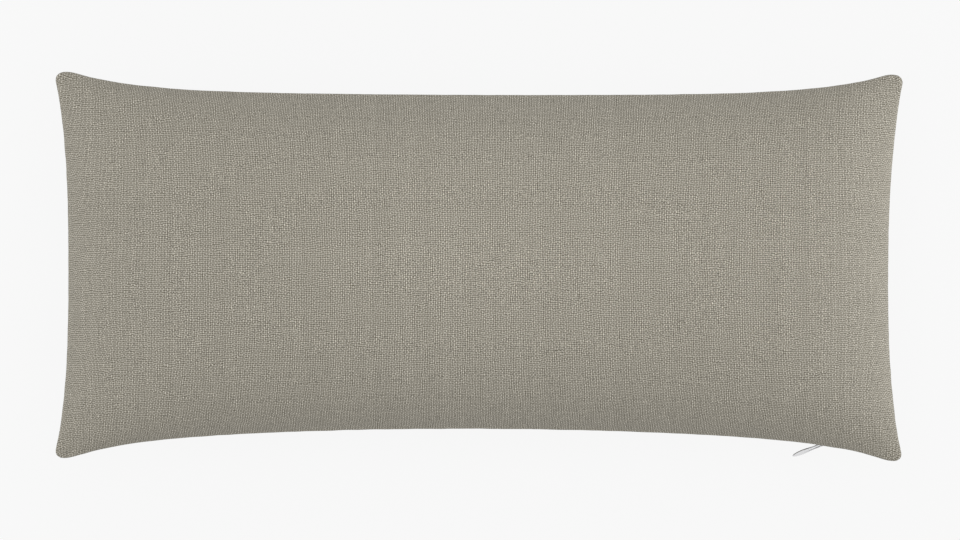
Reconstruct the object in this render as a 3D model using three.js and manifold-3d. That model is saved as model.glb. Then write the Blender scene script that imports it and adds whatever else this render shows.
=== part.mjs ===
// Lumbar throw pillow, lying on its back: a knife-edge cover of plain-woven cloth, filled, with a
// hidden zip in its lower long seam. The slider sits under that seam, and its pull hangs out.
// Millimetres. +X runs along the pillow, +Y across it to the upper seam, and +Z up out of its face.
import * as THREE from 'three';
import { mergeGeometries, mergeVertices } from 'three/addons/utils/BufferGeometryUtils.js';
import Module from 'manifold-3d';

// Seam outline, from the pillow's centre. The middle of each side is drawn in by the filling. From
// there a slow bow and a steep flare run out to the corners, and a lean makes the two ends differ.
const SIDES = {
  top: { middle: 133.7, lean: -1.1, bow: 4.3, flare: 18.4, power: 7 },
  bottom: { middle: -126.5, lean: -1.1, bow: -15.0, flare: -15.8, power: 9 },
  left: { middle: -320.0, lean: 0.0, bow: -1.6, flare: -12.8, power: 4 },
  right: { middle: 317.9, lean: 0.6, bow: 6.0, flare: 10.2, power: 5 },
};
const HALF_LENGTH = 332;
const HALF_WIDTH = 155;
const CORNER_ALONG = 22;
const CORNER_ACROSS = 14;

// Filled form. The crown stands above the seam and leans a little to the lower seam, where the cloth
// has more slack. The underside lies flat on the surface over an oblong patch, sized in parts of the
// half length and half width, and rises from there to the seam. The thin corners hang a little lower.
const SEAM_HEIGHT = 54;
const CROWN = 66;
const CROWN_LEAN = 0.036;
const REST_ALONG = 0.5;
const REST_ACROSS = 0.44;
const CORNER_DROP = 5;
const CORNER_DROP_POWER = 4;
const FACE_FORM = { endPower: 2.7, endRoundness: 0.67, sidePower: 2, sideRoundness: 0.79, corners: 1.15 };
const UNDER_FORM = { endPower: 2.1, endRoundness: 0.72, sidePower: 1.4, sideRoundness: 0.75, corners: 1.6 };

// Facets of each cloth panel, crowded towards the seam where the form turns fastest.
const COLUMNS = 56;
const ROWS = 32;
const SEAM_CROWDING = 0.8;
const WELD = 0.001;

// Zip slider: its seat under the lower seam, in parts of the half length and half width, and how far
// it turns under from facing straight out of that seam.
const ZIP_ALONG = 0.838;
const ZIP_ACROSS = -0.948;
const ZIP_TURN = THREE.MathUtils.degToRad(49);
const SLIDER_GAP = 0.9;
const SLIDER_LENGTH = 9;
const SLIDER_WIDTH = 5.2;
const SLIDER_NOSE = 3;
const SLIDER_THICKNESS = 2.4;
const SLIDER_EDGE = 0.4;

// Wire bridge on the slider, which carries the pull.
const BRIDGE_WIRE = 1.0;
const BRIDGE_RADIUS = 1.9;
const BRIDGE_LEG = 1.8;
const BRIDGE_ROOT = 0.8;
const BRIDGE_STEPS = 20;
const BRIDGE_SIDES = 10;

// Pull: a slender flat drop of metal with an eye at one end. The eye sits part of the way round the
// bridge's arch. The pull swings out from the seam, droops, and lies with its face up.
const PULL_ROUND_ARCH = THREE.MathUtils.degToRad(20);
const PULL_SWING = THREE.MathUtils.degToRad(24.2);
const PULL_DROOP = THREE.MathUtils.degToRad(20);
const PULL_LENGTH = 32;
const PULL_THICKNESS = 0.9;
const PULL_EDGE = 0.25;
const PULL_EYE_RADIUS = 2.4;
const PULL_HOLE_RADIUS = 1.6;
const PULL_NECK_HALF = 0.9;
const PULL_NECK_AT = 7;
const PULL_BELLY_HALF = 1.8;
const PULL_BELLY_AT = 23;
const PULL_TIP_RADIUS = 0.7;
const PULL_CURVE_STEPS = 10;

const { lerp } = THREE.MathUtils;
const wasm = await Module();
wasm.setup();

const clothMaterial = new THREE.MeshStandardMaterial({ color: 0x9c978b, roughness: 0.95, metalness: 0 });
const metalMaterial = new THREE.MeshStandardMaterial({ color: 0xc6c7ca, roughness: 0.25, metalness: 1 });

function sideAt(side, along) {
  return side.middle + side.lean * along + side.bow * along ** 2 + side.flare * Math.abs(along) ** side.power;
}

// Turns the square corner of the cut into a rounded one, and leaves the rest of the cloth alone.
function roundCorner(u, v) {
  const cornerU = CORNER_ALONG / HALF_LENGTH;
  const cornerV = CORNER_ACROSS / HALF_WIDTH;
  const p = (Math.abs(u) - 1 + cornerU) / cornerU;
  const q = (Math.abs(v) - 1 + cornerV) / cornerV;
  if (p <= 0 || q <= 0) return [u, v];
  const roundedU = 1 - cornerU + cornerU * p * Math.sqrt(1 - q * q / 2);
  const roundedV = 1 - cornerV + cornerV * q * Math.sqrt(1 - p * p / 2);
  return [Math.sign(u) * roundedU, Math.sign(v) * roundedV];
}

// Share of the filling's full height over a place on the cloth: 1 in the middle, and 0 along the seam.
function fullnessAt(along, across, form) {
  const ends = (1 - along ** form.endPower) ** form.endRoundness;
  const sides = (1 - across ** form.sidePower) ** form.sideRoundness;
  return ends * sides * (1 + form.corners * (along * across) ** 2);
}

function faceFullness(u, v) {
  return fullnessAt(Math.abs(u), Math.abs(v + CROWN_LEAN * (1 - v * v)), FACE_FORM);
}

// The underside's fullness falls away only beyond the edge of the patch that it lies on.
function underFullness(u, v) {
  const beyond = (place, edge) => Math.max(0, (Math.abs(place) - edge) / (1 - edge));
  return fullnessAt(beyond(u, REST_ALONG), beyond(v, REST_ACROSS), UNDER_FORM);
}

function clothPoint(u, v, isFace) {
  const [outU, outV] = roundCorner(u, v);
  const x = lerp(sideAt(SIDES.left, outV), sideAt(SIDES.right, outV), (1 + outU) / 2);
  const y = lerp(sideAt(SIDES.bottom, outU), sideAt(SIDES.top, outU), (1 + outV) / 2);
  const seam = SEAM_HEIGHT - CORNER_DROP * Math.abs(u * v) ** CORNER_DROP_POWER;
  const z = isFace ? seam + CROWN * faceFullness(u, v) : seam * (1 - underFullness(u, v));
  return new THREE.Vector3(x, y, z);
}

function clothPanel(isFace) {
  const panel = new THREE.PlaneGeometry(2, 2, COLUMNS, ROWS);
  if (!isFace) panel.rotateY(Math.PI);
  panel.deleteAttribute('normal');
  panel.deleteAttribute('uv');
  const crowd = (s) => (1 - SEAM_CROWDING) * s + SEAM_CROWDING * Math.sin(s * Math.PI / 2);
  const position = panel.getAttribute('position');
  for (let i = 0; i < position.count; i++) {
    const point = clothPoint(crowd(position.getX(i)), crowd(position.getY(i)), isFace);
    position.setXYZ(i, point.x, point.y, point.z);
  }
  return panel;
}

function cushionMesh() {
  const closed = mergeVertices(mergeGeometries([clothPanel(true), clothPanel(false)]), WELD);
  const mesh = new THREE.Mesh(closed, clothMaterial);
  mesh.name = 'cushion';
  return mesh;
}

function solidFrom(geometry) {
  const bare = geometry.clone();
  bare.deleteAttribute('normal');
  bare.deleteAttribute('uv');
  const welded = mergeVertices(bare, WELD);
  const vertProperties = new Float32Array(welded.getAttribute('position').array);
  const triVerts = new Uint32Array(welded.getIndex().array);
  return new wasm.Manifold(new wasm.Mesh({ numProp: 3, vertProperties, triVerts }));
}

function geometryFrom(solid) {
  const { vertProperties, triVerts } = solid.getMesh();
  const geometry = new THREE.BufferGeometry();
  geometry.setAttribute('position', new THREE.BufferAttribute(vertProperties, 3));
  geometry.setIndex(new THREE.BufferAttribute(triVerts, 1));
  return geometry;
}

// Slider body: a blunt shield with a tapered nose, its edges eased, lying on the zip.
function sliderBody() {
  const half = SLIDER_LENGTH / 2 - SLIDER_EDGE;
  const side = SLIDER_WIDTH / 2 - SLIDER_EDGE;
  const outline = new THREE.Shape();
  outline.moveTo(half, -side);
  outline.lineTo(half, side);
  outline.lineTo(SLIDER_NOSE - half, side);
  outline.quadraticCurveTo(-half, side, -half, 0);
  outline.quadraticCurveTo(-half, -side, SLIDER_NOSE - half, -side);
  const body = new THREE.ExtrudeGeometry(outline, {
    depth: SLIDER_THICKNESS - 2 * SLIDER_EDGE,
    bevelThickness: SLIDER_EDGE,
    bevelSize: SLIDER_EDGE,
    bevelSegments: 2,
    curveSegments: 6,
  });
  return body.translate(0, 0, SLIDER_GAP + SLIDER_EDGE);
}

const BRIDGE_FOOT = SLIDER_GAP + SLIDER_THICKNESS - BRIDGE_ROOT;
const BRIDGE_CENTRE = SLIDER_GAP + SLIDER_THICKNESS + BRIDGE_LEG;

function bridgeWire() {
  const section = new THREE.Shape();
  for (let i = 0; i < BRIDGE_SIDES; i++) {
    const angle = 2 * Math.PI * i / BRIDGE_SIDES;
    const place = [BRIDGE_WIRE / 2 * Math.cos(angle), BRIDGE_WIRE / 2 * Math.sin(angle)];
    if (i === 0) section.moveTo(...place);
    else section.lineTo(...place);
  }
  const route = [new THREE.Vector3(BRIDGE_RADIUS, 0, BRIDGE_FOOT)];
  for (let degrees = 0; degrees <= 180; degrees += 30) {
    const angle = THREE.MathUtils.degToRad(degrees);
    const height = BRIDGE_CENTRE + BRIDGE_RADIUS * Math.sin(angle);
    route.push(new THREE.Vector3(BRIDGE_RADIUS * Math.cos(angle), 0, height));
  }
  route.push(new THREE.Vector3(-BRIDGE_RADIUS, 0, BRIDGE_FOOT));
  return new THREE.ExtrudeGeometry(section, {
    extrudePath: new THREE.CatmullRomCurve3(route),
    steps: BRIDGE_STEPS,
    bevelEnabled: false,
  });
}

function sliderMesh() {
  const solid = solidFrom(sliderBody()).add(solidFrom(bridgeWire()));
  const mesh = new THREE.Mesh(geometryFrom(solid), metalMaterial);
  mesh.name = 'zip_slider';
  return mesh;
}

// Pull: an outline along local X, from the eye at the origin through a narrow neck to the drop's tip.
function pullPlate() {
  const eye = PULL_EYE_RADIUS - PULL_EDGE;
  const neck = PULL_NECK_HALF - PULL_EDGE;
  const belly = PULL_BELLY_HALF - PULL_EDGE;
  const tip = PULL_TIP_RADIUS - PULL_EDGE;
  const tipCentre = PULL_LENGTH - PULL_TIP_RADIUS;
  const shoulder = PULL_NECK_AT / 2;
  const waist = (PULL_NECK_AT + PULL_BELLY_AT) / 2;
  const outline = new THREE.Shape();
  outline.absarc(0, 0, eye, Math.PI / 2, 3 * Math.PI / 2, false);
  outline.bezierCurveTo(shoulder, -eye, shoulder, -neck, PULL_NECK_AT, -neck);
  outline.bezierCurveTo(waist, -neck, waist, -belly, PULL_BELLY_AT, -belly);
  outline.quadraticCurveTo(tipCentre - tip, -belly, tipCentre, -tip);
  outline.absarc(tipCentre, 0, tip, -Math.PI / 2, Math.PI / 2, false);
  outline.quadraticCurveTo(tipCentre - tip, belly, PULL_BELLY_AT, belly);
  outline.bezierCurveTo(waist, belly, waist, neck, PULL_NECK_AT, neck);
  outline.bezierCurveTo(shoulder, neck, shoulder, eye, 0, eye);
  const hole = new THREE.Path();
  hole.absarc(0, 0, PULL_HOLE_RADIUS + PULL_EDGE, 0, 2 * Math.PI, true);
  outline.holes.push(hole);
  const plate = new THREE.ExtrudeGeometry(outline, {
    depth: PULL_THICKNESS - 2 * PULL_EDGE,
    bevelThickness: PULL_EDGE,
    bevelSize: PULL_EDGE,
    bevelSegments: 1,
    curveSegments: PULL_CURVE_STEPS,
  });
  return plate.translate(0, 0, PULL_EDGE - PULL_THICKNESS / 2);
}

function pullMesh(eyePlace) {
  const mesh = new THREE.Mesh(geometryFrom(solidFrom(pullPlate())), metalMaterial);
  mesh.name = 'zip_pull';
  const fall = -Math.tan(PULL_DROOP);
  const along = new THREE.Vector3(-Math.cos(PULL_SWING), -Math.sin(PULL_SWING), fall).normalize();
  const sideways = new THREE.Vector3(Math.sin(PULL_SWING), -Math.cos(PULL_SWING), 0);
  const faceUp = new THREE.Vector3().crossVectors(along, sideways);
  mesh.quaternion.setFromRotationMatrix(new THREE.Matrix4().makeBasis(along, sideways, faceUp));
  mesh.position.copy(eyePlace);
  return mesh;
}

// The zip's own frame: X along the seam, and Z out of the cloth where the slider sits.
const zip = new THREE.Group();
zip.position.copy(clothPoint(ZIP_ALONG, ZIP_ACROSS, false));
zip.rotation.x = Math.PI / 2 + ZIP_TURN;
zip.add(sliderMesh());
zip.updateMatrix();
const onArch = new THREE.Vector3(
  -BRIDGE_RADIUS * Math.cos(PULL_ROUND_ARCH),
  0,
  BRIDGE_CENTRE + BRIDGE_RADIUS * Math.sin(PULL_ROUND_ARCH),
);

const pillow = new THREE.Group();
pillow.add(cushionMesh(), zip, pullMesh(onArch.applyMatrix4(zip.matrix)));

export default pillow;
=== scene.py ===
import math

import bmesh
import bpy
from mathutils import Matrix, Vector, kdtree, noise


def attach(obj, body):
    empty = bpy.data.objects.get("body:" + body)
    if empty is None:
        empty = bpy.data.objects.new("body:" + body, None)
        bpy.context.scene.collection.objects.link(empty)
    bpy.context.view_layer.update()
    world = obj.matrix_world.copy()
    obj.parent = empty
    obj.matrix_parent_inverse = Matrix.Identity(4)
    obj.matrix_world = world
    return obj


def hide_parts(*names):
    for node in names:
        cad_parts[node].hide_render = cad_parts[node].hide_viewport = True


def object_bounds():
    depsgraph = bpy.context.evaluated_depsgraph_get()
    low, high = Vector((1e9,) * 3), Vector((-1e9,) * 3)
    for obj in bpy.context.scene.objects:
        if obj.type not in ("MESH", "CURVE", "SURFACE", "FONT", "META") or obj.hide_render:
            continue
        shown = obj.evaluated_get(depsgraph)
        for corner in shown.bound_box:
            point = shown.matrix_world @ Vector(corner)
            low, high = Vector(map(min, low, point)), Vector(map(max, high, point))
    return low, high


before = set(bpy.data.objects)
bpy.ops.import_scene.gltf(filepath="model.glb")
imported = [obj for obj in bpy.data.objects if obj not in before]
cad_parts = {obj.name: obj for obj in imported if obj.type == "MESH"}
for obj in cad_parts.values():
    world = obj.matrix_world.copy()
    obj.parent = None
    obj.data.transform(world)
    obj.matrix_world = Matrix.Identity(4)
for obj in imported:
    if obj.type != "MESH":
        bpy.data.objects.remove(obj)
cad_low, cad_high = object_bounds()

# Filled cover
# Two oblong panels of plain-woven cloth are sewn together round their edges, turned right side out
# and filled. The filling crowns both faces and draws the sides in between the rounded corners.
CUT_HALF_LENGTH = 0.332
CUT_HALF_WIDTH = 0.152
CORNER_ALONG = 0.022
CORNER_ACROSS = 0.014
SEAM_HEIGHT = 0.054
CORNER_DROP = 0.005
CORNER_DROP_POWER = 4
SEAM_SIDES = {
    "top": dict(middle=0.1337, lean=-0.0011, bow=0.0043, flare=0.0184, power=7),
    "bottom": dict(middle=-0.1265, lean=-0.0011, bow=-0.0150, flare=-0.0158, power=9),
    "left": dict(middle=-0.3200, lean=0.0, bow=-0.0016, flare=-0.0128, power=4),
    "right": dict(middle=0.3179, lean=0.0006, bow=0.0060, flare=0.0102, power=5),
}
PANEL_COLUMNS = 76
PANEL_ROWS = 38
SEAM_CROWDING = 0.6
PANELS_APART = 0.004
CROWN_LEAN = 0.036
END_POWER = 2.7
END_ROUNDNESS = 0.67
ACROSS_ROUNDNESS = 0.79
CORNER_FULLNESS = 1.15
WELD = 1e-7


def crowd_to_seam(share):
    """A place on an even grid, from -1 to 1, moved so that the rows lie closer together by the seam."""
    return (1 - SEAM_CROWDING) * share + SEAM_CROWDING * math.sin(share * math.pi / 2)


def round_corner(u, v):
    """A place on a panel, from -1 to 1 each way, moved in where the panel's corner is rounded."""
    corner_u = CORNER_ALONG / CUT_HALF_LENGTH
    corner_v = CORNER_ACROSS / CUT_HALF_WIDTH
    into_u = (abs(u) - 1 + corner_u) / corner_u
    into_v = (abs(v) - 1 + corner_v) / corner_v
    if into_u <= 0 or into_v <= 0:
        return u, v
    rounded_u = 1 - corner_u + corner_u * into_u * math.sqrt(1 - into_v * into_v / 2)
    rounded_v = 1 - corner_v + corner_v * into_v * math.sqrt(1 - into_u * into_u / 2)
    return math.copysign(rounded_u, u), math.copysign(rounded_v, v)


def side_at(name, along):
    """Where a side of the seam lies in plan, at a place from -1 to 1 along it."""
    side = SEAM_SIDES[name]
    flare = side["flare"] * abs(along) ** side["power"]
    return side["middle"] + side["lean"] * along + side["bow"] * along ** 2 + flare


def drawn_in(u, v):
    """Where a place on a panel lies in plan, at the seam's height, once the sides are drawn in."""
    rounded_u, rounded_v = round_corner(u, v)
    left = side_at("left", rounded_v)
    right = side_at("right", rounded_v)
    bottom = side_at("bottom", rounded_u)
    top = side_at("top", rounded_u)
    x = left + (right - left) * (1 + rounded_u) / 2
    y = bottom + (top - bottom) * (1 + rounded_v) / 2
    return Vector((x, y, SEAM_HEIGHT - CORNER_DROP * abs(u * v) ** CORNER_DROP_POWER))


def fullness_at(u, v):
    """Share of the filling's full height over a place on a panel, which is 0 along the seam."""
    leant = v + CROWN_LEAN * (1 - v * v)
    ends = max(0.0, 1 - abs(u) ** END_POWER) ** END_ROUNDNESS
    sides = max(0.0, 1 - leant * leant) ** ACROSS_ROUNDNESS
    return ends * sides * (1 + CORNER_FULLNESS * (u * v) ** 2)


def on_seam(place):
    """Whether a place, with its fullness as its height, is on the sewn edge."""
    return abs(place.z) < WELD


# The panels lie flat as cut, almost touching, with their edges sewn together.
panels = bmesh.new()
for facing in (1, -1):
    grid = bmesh.ops.create_grid(panels, x_segments=PANEL_COLUMNS, y_segments=PANEL_ROWS, size=1)
    for vert in grid["verts"]:
        u, v = crowd_to_seam(vert.co.x), crowd_to_seam(vert.co.y)
        vert.co = u, v, facing * fullness_at(u, v)
bmesh.ops.remove_doubles(panels, verts=panels.verts, dist=WELD)
bmesh.ops.recalc_face_normals(panels, faces=panels.faces)
places = [vert.co.copy() for vert in panels.verts]
sewn = [index for index, place in enumerate(places) if on_seam(place)]
crease = panels.edges.layers.float.new("crease_edge")
for edge in panels.edges:
    edge[crease] = float(all(on_seam(vert.co) for vert in edge.verts))
cut_place = panels.verts.layers.float_vector.new("cut")
for vert, (u, v, fullness) in zip(panels.verts, places):
    rounded_u, rounded_v = round_corner(u, v)
    height = SEAM_HEIGHT + PANELS_APART * fullness
    vert.co = rounded_u * CUT_HALF_LENGTH, rounded_v * CUT_HALF_WIDTH, height
    vert[cut_place] = vert.co
cover = bpy.data.objects.new("cushion_cover", bpy.data.meshes.new("cushion_cover"))
panels.to_mesh(cover.data)
panels.free()
bpy.context.scene.collection.objects.link(cover)
cover.vertex_groups.new(name="seam").add(sewn, 1.0, "REPLACE")

# The filling presses the panels apart while the sewn edge is drawn in to its outline.
CROWN = cad_high.z - SEAM_HEIGHT
FILL_PRESSURE = 120
DRAWN_IN_FRAME = 12
SETTLED_FRAME = 20
CLOTH_FEEL = dict(
    quality=6,
    mass=0.05,
    tension_stiffness=40,
    compression_stiffness=5,
    shear_stiffness=3,
    bending_stiffness=0.3,
)
FINER_LEVELS = 2


def apply_modifiers(piece):
    """Makes the shape that a piece's modifiers and shape keys give its own mesh."""
    depsgraph = bpy.context.evaluated_depsgraph_get()
    shaped = bpy.data.meshes.new_from_object(
        piece.evaluated_get(depsgraph), preserve_all_data_layers=True, depsgraph=depsgraph)
    piece.modifiers.clear()
    piece.shape_key_clear()
    piece.data = shaped


def fill_cover():
    """Lets cloth simulation crown the panels, with the sewn edge held to its outline."""
    cover.shape_key_add(name="as_cut", from_mix=False)
    outline = cover.shape_key_add(name="drawn_in", from_mix=False)
    for point, place in zip(outline.data, places):
        point.co = drawn_in(place.x, place.y)
    for frame_number, value in ((1, 0.0), (DRAWN_IN_FRAME, 1.0)):
        outline.value = value
        outline.keyframe_insert("value", frame=frame_number)
    cloth = cover.modifiers.new("filled", "CLOTH")
    cloth.settings.vertex_group_mass = "seam"
    for name, value in CLOTH_FEEL.items():
        setattr(cloth.settings, name, value)
    cloth.settings.use_pressure = True
    cloth.settings.uniform_pressure_force = FILL_PRESSURE
    cloth.settings.effector_weights.gravity = 0
    cloth.collision_settings.use_collision = False
    cloth.point_cache.frame_start = 1
    cloth.point_cache.frame_end = SETTLED_FRAME
    for frame_number in range(1, SETTLED_FRAME + 1):
        bpy.context.scene.frame_set(frame_number)
    apply_modifiers(cover)
    bpy.context.scene.frame_set(1)


fill_cover()
finer = cover.modifiers.new("finer", "SUBSURF")
finer.levels = finer.render_levels = FINER_LEVELS
apply_modifiers(cover)

# The cover settles on the surface, and its seam is a rolled edge with a fine groove and soft puckers.
REST_BLEND = 0.008
SEWN_WEIGHT = 0.99
ROLL_OUT = 0.0005
ROLL_FROM_SEAM = 0.0026
ROLL_WIDTH = 0.0018
ROLL_UNEVENNESS = 0.3
GROOVE_DEPTH = 0.0005
GROOVE_WIDTH = 0.0009
PUCKER_DEPTH = 0.00015
PUCKER_LENGTH = 0.011
SEAM_REACH = 0.012
UNEVEN_DEPTH = 0.0008
UNEVEN_LENGTH = 0.085
UNEVEN_FROM_SEAM = 0.030
EDGE_OUT = 0.0002
CORNER_OUT = 0.0010
CORNER_OUT_POWER = 12


def rest_on_surface(height):
    """A height that eases to 0 where the cloth would sink below the surface."""
    if height < -REST_BLEND:
        return 0.0
    if height < REST_BLEND:
        return (height + REST_BLEND) ** 2 / (4 * REST_BLEND)
    return height


def bell(distance, width):
    """A share that falls from 1 at no distance to almost 0 at twice the width."""
    return math.exp(-(distance / width) ** 2)


def outward_normals(piece):
    return [normal.vector.copy() for normal in piece.data.vertex_normals]


highest = max(vert.co.z for vert in cover.data.vertices)
seam_points = [vert for vert in cover.data.vertices
               if any(held.weight > SEWN_WEIGHT for held in vert.groups)]
seam_line = kdtree.KDTree(len(seam_points))
for vert in seam_points:
    seam_line.insert(vert.co, vert.index)
seam_line.balance()
for vert, normal in zip(cover.data.vertices, outward_normals(cover)):
    nearest, _, from_seam = seam_line.find(vert.co)
    outward = Vector((normal.x, normal.y, 0)).normalized()
    near_seam = math.exp(-from_seam / SEAM_REACH)
    pucker = noise.noise(nearest / PUCKER_LENGTH)
    roll = ROLL_OUT * (1 + ROLL_UNEVENNESS * pucker) * bell(from_seam - ROLL_FROM_SEAM, ROLL_WIDTH)
    groove = GROOVE_DEPTH * bell(from_seam, GROOVE_WIDTH)
    dent = PUCKER_DEPTH * pucker * near_seam
    clear_of_seam = 1 - bell(from_seam, UNEVEN_FROM_SEAM)
    unevenness = UNEVEN_DEPTH * noise.noise(vert.co / UNEVEN_LENGTH) * clear_of_seam
    to_corner = vert.co.x * vert.co.y / (CUT_HALF_LENGTH * CUT_HALF_WIDTH)
    edge = (EDGE_OUT + CORNER_OUT * to_corner ** CORNER_OUT_POWER) * near_seam
    if vert.co.z > SEAM_HEIGHT:
        vert.co.z = SEAM_HEIGHT + (vert.co.z - SEAM_HEIGHT) * CROWN / (highest - SEAM_HEIGHT)
    vert.co += outward * (edge + roll - groove) + normal * (dent + unevenness)
    vert.co.z = rest_on_surface(vert.co.z)
cover.data.polygons.foreach_set("use_smooth", [True] * len(cover.data.polygons))

# The cloth is a plain weave of uneven linen-like yarns: the warp runs across the pillow, from one
# long seam to the other, and the weft along it.
WARP_PITCH = 0.00124
WARP_WANDER = 0.62
WARP_WANDER_SCALE = (61.0, 24.0, 1.0)
WARP_COLOUR = (0.738, 0.700, 0.614)
WARP_DIP = 0.05
WARP_SEED = 0.5
WEFT_PITCH = 0.00154
WEFT_WANDER = 0.85
WEFT_WANDER_SCALE = (60.0, 48.0, 1.0)
WEFT_COLOUR = (0.616, 0.576, 0.492)
WEFT_DIP = 0.20
WEFT_SEED = 7.5
WANDER_DETAIL = 3.0
WANDER_ROUGHNESS = 0.83
YARN_SPREAD = 0.06
YARN_ROUNDNESS = 2.4
YARN_BUMP = 0.0002
BUMP_STRENGTH = 0.5
# Painted shade: the gap colour is a dark colour put between the yarns, where shade falls.
GAP_SHADE_COLOUR = (0.045, 0.035, 0.008)
GAP_SHADE_SHARPNESS = 2.5
FIBRE_CONTRAST = 0.37
FIBRE_SCALE = 1800.0
BLOTCH_GAIN = 4.0
CLOTH_FINISH = {
    "Roughness": 0.92,
    "Specular IOR Level": 0.2,
    "Sheen Weight": 0.15,
    "Sheen Roughness": 0.5,
}


def add_node(tree, kind, inputs=(), **settings):
    """A shader node with these settings, and each input linked to a socket or set to a value."""
    made = tree.nodes.new(kind)
    for name, value in settings.items():
        setattr(made, name, value)
    for key, value in dict(inputs).items():
        if isinstance(value, bpy.types.NodeSocket):
            tree.links.new(value, made.inputs[key])
        else:
            made.inputs[key].default_value = value
    return made


def reckon(tree, operation, *values):
    """The result of a sum on sockets or numbers."""
    return add_node(tree, "ShaderNodeMath", enumerate(values), operation=operation).outputs[0]


def both_ways(tree, share):
    """A share from 0 to 1 as a place from -1 to 1."""
    return reckon(tree, "MULTIPLY_ADD", share, 2.0, -1.0)


def between(tree, share, low, high):
    mix = add_node(tree, "ShaderNodeMix", {0: share, 2: low, 3: high}, data_type="FLOAT")
    return mix.outputs[0]


def between_colours(tree, share, low, high):
    mix = add_node(tree, "ShaderNodeMix", {0: share, 4: low, 5: high}, data_type="VECTOR")
    return mix.outputs[1]


def tint(tree, colour, tone):
    scaled = add_node(tree, "ShaderNodeVectorMath", {0: colour, "Scale": tone}, operation="SCALE")
    return scaled.outputs[0]


def blotch(tree, place, scale, detail=0.0, roughness=0.5):
    """Soft noise from about -1 to 1."""
    settings = {"Vector": place, "Scale": scale, "Detail": detail, "Roughness": roughness}
    patch = add_node(tree, "ShaderNodeTexNoise", settings)
    return reckon(tree, "MULTIPLY_ADD", patch.outputs["Fac"], BLOTCH_GAIN, -BLOTCH_GAIN / 2)


def chance(tree, *numbers):
    """An even chance from -1 to 1 that depends only on the numbers given."""
    joined = add_node(tree, "ShaderNodeCombineXYZ", enumerate(numbers)).outputs[0]
    drawn = add_node(tree, "ShaderNodeTexWhiteNoise", {"Vector": joined}, noise_dimensions="3D")
    return both_ways(tree, drawn.outputs["Value"])


def count_yarns(tree, on_cut, place, pitch, wander, wander_scale):
    """How many yarns lie before a place. They wander, so their lines aren't quite even."""
    field = add_node(tree, "ShaderNodeVectorMath", {0: on_cut, 1: wander_scale}, operation="MULTIPLY")
    wandering = blotch(tree, field.outputs[0], 1.0, WANDER_DETAIL, WANDER_ROUGHNESS)
    return reckon(tree, "MULTIPLY_ADD", wandering, wander, reckon(tree, "DIVIDE", place, pitch))


weave = bpy.data.materials.new("linen_weave")
weave.use_nodes = True
tree = weave.node_tree
surface = tree.nodes["Principled BSDF"]
on_cut = add_node(tree, "ShaderNodeAttribute", attribute_name="cut").outputs["Vector"]
on_panel = add_node(tree, "ShaderNodeSeparateXYZ", {0: on_cut}).outputs
warp_at = count_yarns(tree, on_cut, on_panel["X"], WARP_PITCH, WARP_WANDER, WARP_WANDER_SCALE)
weft_at = count_yarns(tree, on_cut, on_panel["Y"], WEFT_PITCH, WEFT_WANDER, WEFT_WANDER_SCALE)
warp_number = reckon(tree, "FLOOR", warp_at)
weft_number = reckon(tree, "FLOOR", weft_at)
in_warp = both_ways(tree, reckon(tree, "FRACT", warp_at))
in_weft = both_ways(tree, reckon(tree, "FRACT", weft_at))
weft_over = reckon(tree, "FLOORED_MODULO", reckon(tree, "ADD", warp_number, weft_number), 2.0)

# At each crossing one yarn lies over the other, highest in its middle, with gaps beside it that are
# coloured dark as painted shade.
from_middle = reckon(tree, "ABSOLUTE", between(tree, weft_over, in_warp, in_weft))
from_crest = between(tree, weft_over, in_weft, in_warp)
roundness = reckon(tree, "SUBTRACT", 1.0, reckon(tree, "POWER", from_middle, YARN_ROUNDNESS))
dip = between(tree, weft_over, WARP_DIP, WEFT_DIP)
fall = reckon(tree, "MULTIPLY", dip, reckon(tree, "MULTIPLY", from_crest, from_crest))
rise = reckon(tree, "SUBTRACT", 1.0, fall)
yarn_height = reckon(tree, "MULTIPLY", roundness, rise)
# Painted shade: the share of yarn colour falls with the yarn's height, so the colour darkens towards the
# gaps and where the yarn dips under the crossing yarn.
clear_of_gap_shade = reckon(tree, "POWER", yarn_height, GAP_SHADE_SHARPNESS)

# Warp and weft differ in colour, each yarn a little from the next, and fine fibres speckle them all.
yarn_colour = between_colours(tree, weft_over, WARP_COLOUR, WEFT_COLOUR)
warp_chance = chance(tree, warp_number, WARP_SEED)
weft_chance = chance(tree, weft_number, WEFT_SEED)
yarn_chance = between(tree, weft_over, warp_chance, weft_chance)
yarn_tone = reckon(tree, "MULTIPLY_ADD", yarn_chance, YARN_SPREAD, 1.0)
# The yarn colour is mixed towards the painted gap shade wherever the yarn falls away.
woven = between_colours(tree, clear_of_gap_shade, GAP_SHADE_COLOUR, tint(tree, yarn_colour, yarn_tone))
speckle = reckon(tree, "MULTIPLY_ADD", blotch(tree, on_cut, FIBRE_SCALE), FIBRE_CONTRAST, 1.0)
tree.links.new(tint(tree, woven, speckle), surface.inputs["Base Color"])
relief = {"Height": yarn_height, "Distance": YARN_BUMP, "Strength": BUMP_STRENGTH}
raised = add_node(tree, "ShaderNodeBump", relief)
tree.links.new(raised.outputs[0], surface.inputs["Normal"])
for name, value in CLOTH_FINISH.items():
    surface.inputs[name].default_value = value
cover.data.materials.append(weave)
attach(cover, "root")
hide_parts("cushion")

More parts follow.
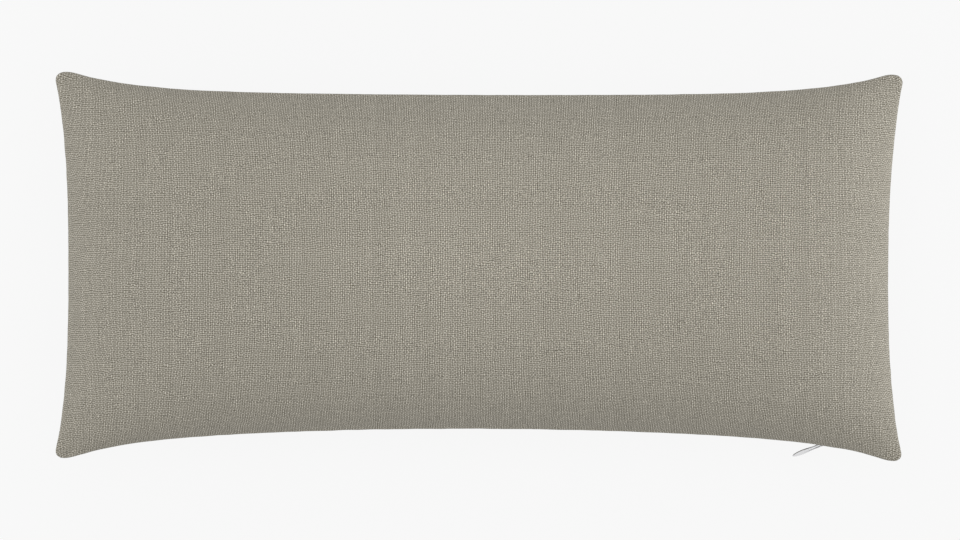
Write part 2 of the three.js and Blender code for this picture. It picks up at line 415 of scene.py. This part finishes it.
# Zip slider
# A small cast slider of plated zinc runs along the zip's closed slit, just under the lower long seam.
# Its body has a rounded nose and a slot along each side for the tape, and a wire bridge for the pull.
ZIP_SEAT = Vector((0.27689, -0.13384, 0.04029))
ZIP_TURN = math.radians(49)
SLIDER_LENGTH = 0.009
SLIDER_WIDTH = 0.0052
SLIDER_THICKNESS = 0.0024
SLIDER_GAP = 0.0009
NOSE_RADIUS = 0.0016
NOSE_SEGMENTS = 5
SLOT_MARGIN = 0.0007
SLOT_DEPTH = 0.0008
EDGE_RADIUS = 0.00025
EDGE_SEGMENTS = 2
SHARP_ANGLE = math.radians(35)
SQUARE_ON = 0.99
BRIDGE_RADIUS = 0.0019
BRIDGE_STEPS = 14
BRIDGE_LEG = 0.0018
WIRE_RADIUS = 0.0005
WIRE_SIDES = 12
zip_place = Matrix.Translation(ZIP_SEAT) @ Matrix.Rotation(math.pi / 2 + ZIP_TURN, 4, "X")
body_middle = SLIDER_GAP + SLIDER_THICKNESS / 2
leg_rise = SLIDER_THICKNESS / 2 + BRIDGE_LEG
bridge_height = body_middle + leg_rise

# The slit is a fine groove in the cover, along one yarn. Behind the slider the cloth is pressed in,
# clear of it, and beside it the seam bulges a little.
SLIT_DEPTH = 0.0011
SLIT_WIDTH = 0.0012
SLIT_HALF_LENGTH = 0.288
SLIT_END = 0.012
PRESSED_GAP = 0.0005
PRESSED_LENGTH = 0.012
BULGE = 0.0006
BULGE_PLACE = Vector((0.270, -0.1335, 0.0495))
BULGE_REACH = 0.008


def ease(share):
    """A share held between 0 and 1, with a gentle start and end."""
    share = min(1.0, max(0.0, share))
    return share * share * (3 - 2 * share)


into_zip = zip_place.inverted()
out_of_cloth = zip_place.to_3x3().col[2]
cut_places = [place.vector.copy() for place in cover.data.attributes["cut"].data]
behind_slider = min(cover.data.vertices, key=lambda vert: (vert.co - ZIP_SEAT).length)
slit_across = cut_places[behind_slider.index].y
for vert, cut, normal in zip(cover.data.vertices, cut_places, outward_normals(cover)):
    if cut.z < SEAM_HEIGHT:
        slit_share = ease((SLIT_HALF_LENGTH - abs(cut.x)) / SLIT_END)
        slit = bell(cut.y - slit_across, SLIT_WIDTH) * slit_share
        vert.co -= normal * SLIT_DEPTH * slit
    in_zip = into_zip @ vert.co
    stands_out = max(0.0, in_zip.z - SLIDER_GAP + PRESSED_GAP)
    vert.co -= out_of_cloth * stands_out * bell(in_zip.x, PRESSED_LENGTH)
    vert.co.y -= BULGE * bell((vert.co - BULGE_PLACE).length, BULGE_REACH)


def round_edges(mesh, edges, radius, segments):
    bmesh.ops.bevel(
        mesh, geom=edges, offset=radius, segments=segments, affect="EDGES", profile=0.5, material=-1)


def is_on_nose(edge):
    first, second = edge.verts
    upright = abs(first.co.z - second.co.z) > WELD
    return upright and first.co.x < 0 and second.co.x < 0


def edges_among(parts):
    return [part for part in parts if isinstance(part, bmesh.types.BMEdge)]


def draw_out(mesh, ring, rise):
    """Extrudes a ring of edges up or down, and gives the ring at its new end."""
    parts = bmesh.ops.extrude_edge_only(mesh, edges=ring)["geom"]
    ends = [part for part in parts if isinstance(part, bmesh.types.BMVert)]
    bmesh.ops.translate(mesh, verts=ends, vec=(0, 0, rise))
    return edges_among(parts)


slider_mesh = bmesh.new()
body = bmesh.ops.create_cube(slider_mesh, size=1)["verts"]
bmesh.ops.scale(slider_mesh, verts=body, vec=(SLIDER_LENGTH, SLIDER_WIDTH, SLIDER_THICKNESS))
nose = [edge for edge in slider_mesh.edges if is_on_nose(edge)]
round_edges(slider_mesh, nose, NOSE_RADIUS, NOSE_SEGMENTS)
sides = [face for face in slider_mesh.faces if abs(face.normal.y) > SQUARE_ON]
bmesh.ops.inset_region(slider_mesh, faces=sides, thickness=SLOT_MARGIN, depth=-SLOT_DEPTH)
sharp = [edge for edge in slider_mesh.edges if edge.calc_face_angle(0) > SHARP_ANGLE]
round_edges(slider_mesh, sharp, EDGE_RADIUS, EDGE_SEGMENTS)
bmesh.ops.translate(slider_mesh, verts=slider_mesh.verts, vec=(0, 0, body_middle))

# The bridge is a wire bent to an arch, with both its legs set in the body.
leg_foot = Matrix.Translation((BRIDGE_RADIUS, 0, body_middle))
bmesh.ops.create_circle(
    slider_mesh, cap_ends=False, segments=WIRE_SIDES, radius=WIRE_RADIUS, matrix=leg_foot)
ring = [edge for edge in slider_mesh.edges if edge.is_wire]
ring = draw_out(slider_mesh, ring, leg_rise)
arch = bmesh.ops.spin(
    slider_mesh, geom=ring, steps=BRIDGE_STEPS, angle=-math.pi,
    cent=(0, 0, bridge_height), axis=(0, 1, 0))
draw_out(slider_mesh, edges_among(arch["geom_last"]), -leg_rise)
bmesh.ops.remove_doubles(slider_mesh, verts=slider_mesh.verts, dist=WELD)
bmesh.ops.holes_fill(slider_mesh, edges=slider_mesh.edges, sides=WIRE_SIDES)
bmesh.ops.recalc_face_normals(slider_mesh, faces=slider_mesh.faces)
bmesh.ops.transform(slider_mesh, matrix=zip_place, verts=slider_mesh.verts)

# The plating is bright, with fine scuffs that dull it in places.
PLATING_COLOUR = (0.77, 0.77, 0.78)
PLATING_TONE = 0.95
PLATING_ROUGHNESS = 0.2
SCUFF_SCALE = 900.0
SCUFF_DETAIL = 3.0
SCUFF_TONE = 0.05
SCUFF_ROUGHNESS = 0.05


def finished_piece(name, mesh, material):
    """A smooth piece with this mesh and finish, which stays with the pillow."""
    piece = bpy.data.objects.new(name, bpy.data.meshes.new(name))
    mesh.to_mesh(piece.data)
    mesh.free()
    piece.data.polygons.foreach_set("use_smooth", [True] * len(piece.data.polygons))
    piece.data.materials.append(material)
    bpy.context.scene.collection.objects.link(piece)
    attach(piece, "root")
    return piece


plating = bpy.data.materials.new("zip_plating")
plating.use_nodes = True
tree = plating.node_tree
surface = tree.nodes["Principled BSDF"]
on_metal = add_node(tree, "ShaderNodeTexCoord").outputs["Object"]
scuffs = blotch(tree, on_metal, SCUFF_SCALE, SCUFF_DETAIL)
roughness = reckon(tree, "MULTIPLY_ADD", scuffs, SCUFF_ROUGHNESS, PLATING_ROUGHNESS)
tone = reckon(tree, "MULTIPLY_ADD", scuffs, SCUFF_TONE, PLATING_TONE)
tree.links.new(roughness, surface.inputs["Roughness"])
tree.links.new(tint(tree, PLATING_COLOUR, tone), surface.inputs["Base Color"])
surface.inputs["Metallic"].default_value = 1.0
slider = finished_piece("zip_slider_body", slider_mesh, plating)
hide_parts("zip_slider")

# Zip pull
# A slender drop-shaped pull is stamped from plated zinc, with an eye at its narrow end. It hangs on
# the slider's bridge and swings out beyond the seam with its face up, so that most of it shows.
PULL_ROUND_ARCH = math.radians(20)
PULL_SWING = math.radians(24.2)
PULL_DROOP = math.radians(20)
PULL_ROLL = math.radians(6)
PULL_LENGTH = 0.032
PULL_THICKNESS = 0.0009
PULL_RIM = 0.0017
EYE_RADIUS = 0.0024
EYE_RIM = 0.0004
HOLE_RADIUS = 0.0016
NECK_HALF = 0.0009
NECK_AT = 0.007
BELLY_HALF = 0.0018
BELLY_AT = 0.023
PULL_POINTS = 96
QUARTERS = 4
QUARTER_STEPS = 6
RIM_QUARTERS = (0, 3)


def pull_half_width(from_eye):
    """Half the pull's width at a distance from the middle of its eye."""
    if from_eye < 0:
        return math.sqrt(max(0.0, EYE_RADIUS ** 2 - from_eye ** 2))
    if from_eye < NECK_AT:
        return EYE_RADIUS + (NECK_HALF - EYE_RADIUS) * ease(from_eye / NECK_AT)
    if from_eye < BELLY_AT:
        return NECK_HALF + (BELLY_HALF - NECK_HALF) * ease((from_eye - NECK_AT) / (BELLY_AT - NECK_AT))
    to_tip = (from_eye - BELLY_AT) / (PULL_LENGTH - BELLY_AT)
    return BELLY_HALF * math.sqrt(max(0.0, 1 - to_tip ** 2))


def rim_point(turn, share):
    """A point round the pull's outline, moved in from it by a share of the rim's width there."""
    middle = (PULL_LENGTH - EYE_RADIUS) / 2
    half_length = (PULL_LENGTH + EYE_RADIUS) / 2
    from_eye = middle + half_length * math.cos(turn)
    inset = share * (EYE_RIM + (PULL_RIM - EYE_RIM) * ease(from_eye / NECK_AT))
    half_width = pull_half_width(from_eye)
    kept_width = half_width ** 2 / (half_width + inset) if half_width else 0.0
    return middle + (half_length - inset) * math.cos(turn), math.copysign(kept_width, turn)


# A grid is wrapped round the outline and round the plate's section, and welded where it meets itself.
# The section has four quarters: the faces round off into the rim in two and into the eye in two.
pull_mesh = bmesh.new()
section_steps = QUARTERS * QUARTER_STEPS
wrapped = bmesh.ops.create_grid(pull_mesh, x_segments=PULL_POINTS, y_segments=section_steps, size=1)
for vert in wrapped["verts"]:
    turn = math.pi * vert.co.x
    round_section = round((vert.co.y + 1) / 2 * section_steps) % section_steps
    quarter, step = divmod(round_section, QUARTER_STEPS)
    bend = math.pi / 2 * (quarter + step / (QUARTER_STEPS - 1))
    share = 1 - abs(math.cos(bend))
    if quarter in RIM_QUARTERS:
        x, y = rim_point(turn, share)
    else:
        hole = HOLE_RADIUS + EYE_RIM / 2 * share
        x, y = hole * math.cos(turn), hole * math.sin(turn)
    vert.co = x, y, PULL_THICKNESS / 2 * math.sin(bend)
bmesh.ops.remove_doubles(pull_mesh, verts=pull_mesh.verts, dist=WELD)
bmesh.ops.recalc_face_normals(pull_mesh, faces=pull_mesh.faces)
along_pull = Vector((-math.cos(PULL_SWING), -math.sin(PULL_SWING), -math.tan(PULL_DROOP))).normalized()
across_pull = Vector((math.sin(PULL_SWING), -math.cos(PULL_SWING), 0))
out_of_face = along_pull.cross(across_pull)
swung = Matrix((along_pull, across_pull, out_of_face)).transposed().to_4x4()
turned = swung @ Matrix.Rotation(PULL_ROLL, 4, "X")
on_arch = zip_place @ Vector((
    -BRIDGE_RADIUS * math.cos(PULL_ROUND_ARCH),
    0,
    bridge_height + BRIDGE_RADIUS * math.sin(PULL_ROUND_ARCH),
))
bmesh.ops.transform(pull_mesh, matrix=Matrix.Translation(on_arch) @ turned, verts=pull_mesh.verts)
pull = finished_piece("zip_pull_drop", pull_mesh, plating)
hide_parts("zip_pull")

# Floor
# The pillow lies on a plain pale surface, lit so evenly that only a faint shadow shows beside it.
# The camera and reflections see it glow, and the light that it throws back on the pillow is dimmer.
FLOOR_SIZE = 12.0
FLOOR_GAP = 0.0005
FLOOR_GLOW = 0.903
FLOOR_SHADE = (0.045, 0.045, 0.045, 1)
FLOOR_BOUNCE = (0.4, 0.4, 0.4, 1)


def seen_directly(tree):
    """1 where the camera or a reflection looks, and 0 where light only bounces."""
    ray = add_node(tree, "ShaderNodeLightPath").outputs
    return reckon(tree, "MAXIMUM", ray["Is Camera Ray"], ray["Is Glossy Ray"])


floor_mesh = bmesh.new()
bmesh.ops.create_grid(floor_mesh, x_segments=1, y_segments=1, size=FLOOR_SIZE / 2)
bmesh.ops.translate(floor_mesh, verts=floor_mesh.verts, vec=(0, 0, -FLOOR_GAP))
floor = bpy.data.objects.new("floor", bpy.data.meshes.new("floor"))
floor_mesh.to_mesh(floor.data)
floor_mesh.free()
bpy.context.scene.collection.objects.link(floor)
paper = bpy.data.materials.new("pale_floor")
paper.use_nodes = True
tree = paper.node_tree
tree.nodes.remove(tree.nodes["Principled BSDF"])
glow = add_node(tree, "ShaderNodeEmission", {"Strength": FLOOR_GLOW}).outputs[0]
shade = add_node(tree, "ShaderNodeBsdfDiffuse", {"Color": FLOOR_SHADE}).outputs[0]
shown = add_node(tree, "ShaderNodeAddShader", {0: glow, 1: shade}).outputs[0]
unseen = add_node(tree, "ShaderNodeBsdfDiffuse", {"Color": FLOOR_BOUNCE}).outputs[0]
either = add_node(tree, "ShaderNodeMixShader", {0: seen_directly(tree), 1: unseen, 2: shown}).outputs[0]
tree.links.new(either, tree.nodes["Material Output"].inputs["Surface"])
floor.data.materials.append(paper)

# Lights
# An even fill comes from all sides. A small soft box hangs over the middle, a wide one stands beyond
# the upper seam, and one beside each end lifts its edge, the right one more.
FILL_LIGHT = 0.70
BACKDROP_GLOW = 0.939
WHITE = (1, 1, 1, 1)
SOFT_BOXES = (
    dict(name="middle", place=(0.04, 0.05, 0.52), size=(0.3, 0.3), watts=0.39),
    dict(name="beyond", place=(0.0, 1.8, 0.5), size=(1.6, 0.6), watts=1.64),
    dict(name="right", place=(0.75, 0.07, 0.105), size=(0.4, 0.25), watts=1.28),
    dict(name="left", place=(-0.75, 0.04, 0.22), size=(0.4, 0.25), watts=0.55),
)
LIT_POINT = Vector((0, 0, 0.06))
for box in SOFT_BOXES:
    lamp = bpy.data.lights.new(box["name"], "AREA")
    lamp.shape = "RECTANGLE"
    lamp.size, lamp.size_y = box["size"]
    lamp.energy = box["watts"]
    soft_box = bpy.data.objects.new(box["name"], lamp)
    soft_box.location = box["place"]
    soft_box.rotation_euler = (LIT_POINT - soft_box.location).to_track_quat("-Z", "Y").to_euler()
    soft_box.visible_camera = False
    bpy.context.scene.collection.objects.link(soft_box)
world = bpy.data.worlds.new("studio")
bpy.context.scene.world = world
world.use_nodes = True
tree = world.node_tree
fill = add_node(tree, "ShaderNodeBackground", {"Color": WHITE, "Strength": FILL_LIGHT}).outputs[0]
backdrop = add_node(tree, "ShaderNodeBackground", {"Color": WHITE, "Strength": BACKDROP_GLOW}).outputs[0]
sky = add_node(tree, "ShaderNodeMixShader", {0: seen_directly(tree), 1: fill, 2: backdrop}).outputs[0]
tree.links.new(sky, tree.nodes["World Output"].inputs["Surface"])

# Camera
# It looks straight down on the pillow's face, as the photograph does, through a long lens.
LENS_MM = 85
SENSOR_MM = 36
CAMERA_ALONG = 0.0005
CAMERA_ACROSS = -0.0028
CAMERA_DISTANCE = 1.7642
lens = bpy.data.cameras.new("camera")
lens.lens = LENS_MM
lens.sensor_width = SENSOR_MM
camera = bpy.data.objects.new("camera", lens)
camera.location = (CAMERA_ALONG, CAMERA_ACROSS, SEAM_HEIGHT + CAMERA_DISTANCE)
bpy.context.scene.collection.objects.link(camera)
bpy.context.scene.camera = camera
bpy.context.scene.view_settings.view_transform = "Standard"
